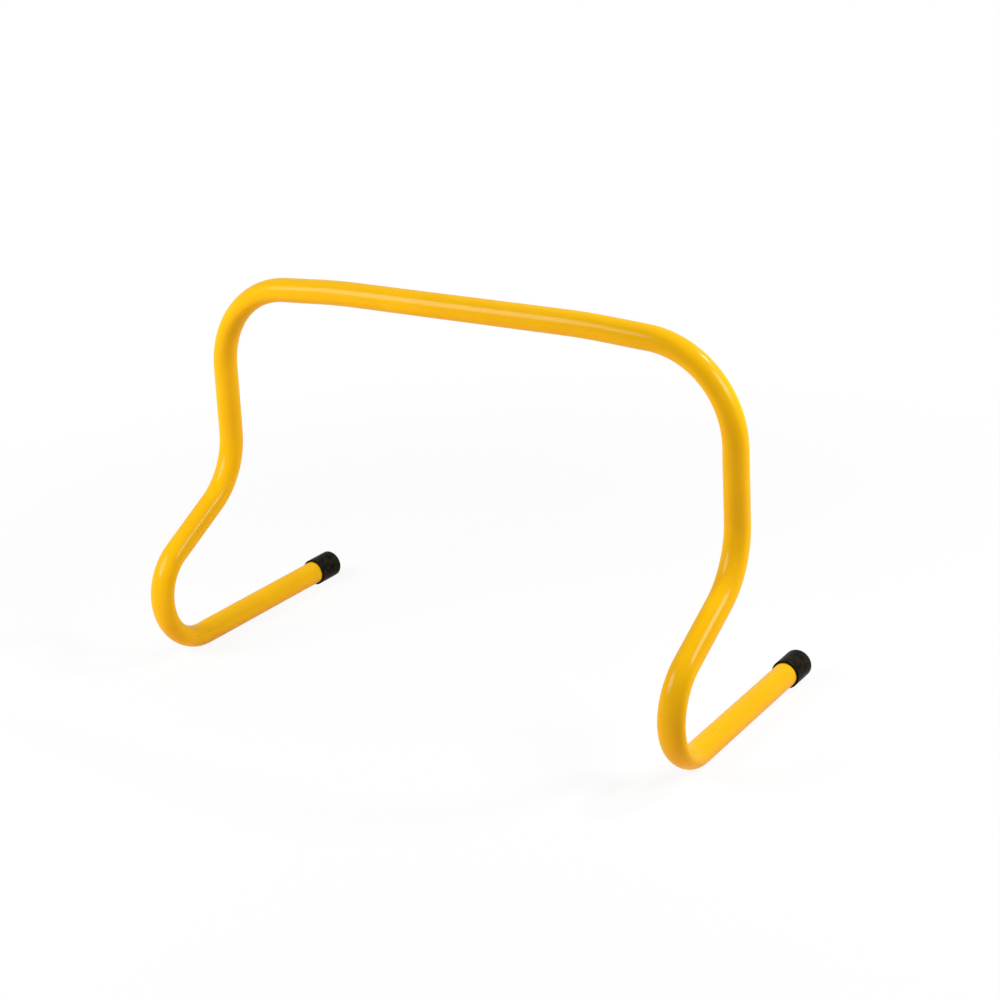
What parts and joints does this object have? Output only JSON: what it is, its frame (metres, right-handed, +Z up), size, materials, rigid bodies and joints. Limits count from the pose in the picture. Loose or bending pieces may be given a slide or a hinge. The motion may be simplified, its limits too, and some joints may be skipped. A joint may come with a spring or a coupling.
{
  "type": "speed hurdle",
  "caption": "Low training hurdle bent from one round plastic tube: crossbar with rounded corners, legs that kink forwards, hairpin bends at the floor, feet running back to push-on end caps.",
  "frame": {"origin": "on the floor under the middle of the crossbar, which is also the middle of the footprint", "axes": "+X along the crossbar, +Y to the rear, where the feet end in their caps, +Z up"},
  "size_m": [0.4812, 0.2174, 0.3027],
  "materials": {
    "tube": "semi-gloss rigid PVC, yellow all through, with fine lengthwise draw lines",
    "cap": "satin black soft vinyl, slightly mottled"
  },
  "bodies": {
    "tube": {"bent_tube": "tube"},
    "left_cap": {"left_end_cap": "cap"},
    "right_cap": {"right_end_cap": "cap"}
  },
  "joints": [
    {"name": "left_cap_pull", "type": "slide", "parent": "tube", "child": "left_cap", "axis": [0.0175, 0.9998, 0.0116], "range_m": [0, 0.03]},
    {"name": "right_cap_pull", "type": "slide", "parent": "tube", "child": "right_cap", "axis": [-0.0175, 0.9998, 0.0116], "range_m": [0, 0.03]}
  ]
}
